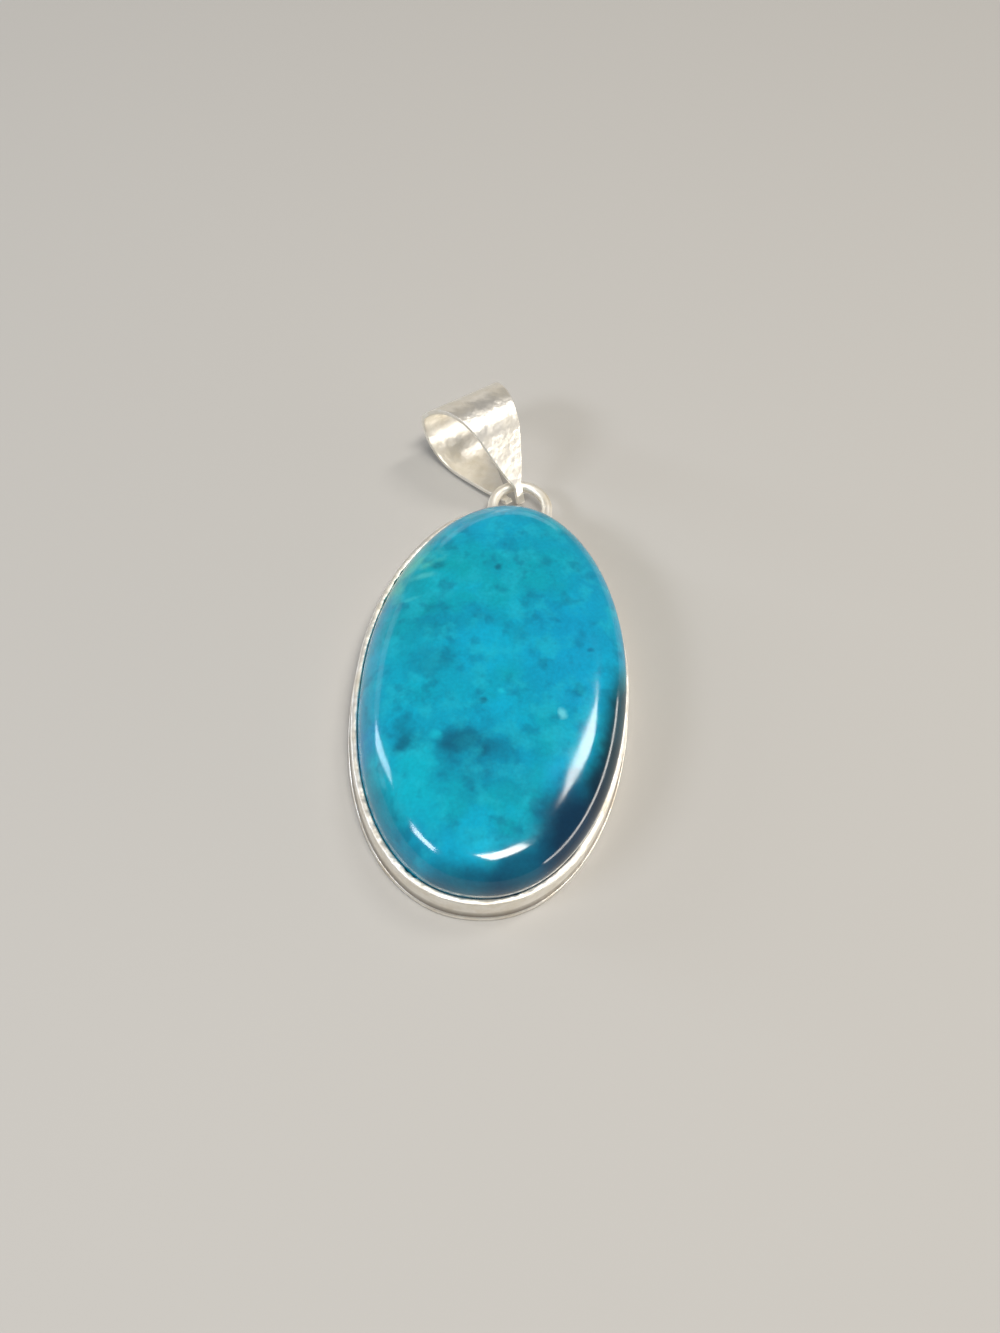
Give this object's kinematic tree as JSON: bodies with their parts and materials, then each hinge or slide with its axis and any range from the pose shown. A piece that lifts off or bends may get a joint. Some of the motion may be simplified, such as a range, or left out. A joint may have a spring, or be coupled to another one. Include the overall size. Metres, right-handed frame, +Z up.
{
  "type": "gemstone cabochon pendant",
  "caption": "Oval polished chrysocolla cabochon in a plain silver bezel setting, with a wire ring and a tapered fold-over bail",
  "frame": {"origin": "centre of the setting's oval, on the underside of the back plate", "axes": "+Z up from the table through the stone, +Y along the long axis of the oval towards the hanging ring, +X to the right seen from above"},
  "size_m": [0.0262, 0.0561, 0.0089],
  "materials": {
    "chrysocolla": "polished blue-green copper silicate with darker teal spots, paler clouds and one navy area",
    "silver": "polished sterling silver, lightly rubbed"
  },
  "bodies": {
    "pendant": {"cabochon": "chrysocolla", "bezel_wall": "silver", "back_plate": "silver", "hanging_ring": "silver"},
    "bail": {"bail": "silver"}
  },
  "joints": [
    {"name": "bail_swing", "type": "hinge", "parent": "pendant", "child": "bail", "pos_m": [-0.00047, 0.02425, 0.00217], "axis": [0.866, 0.5, 0], "range_deg": [0, 72]}
  ]
}
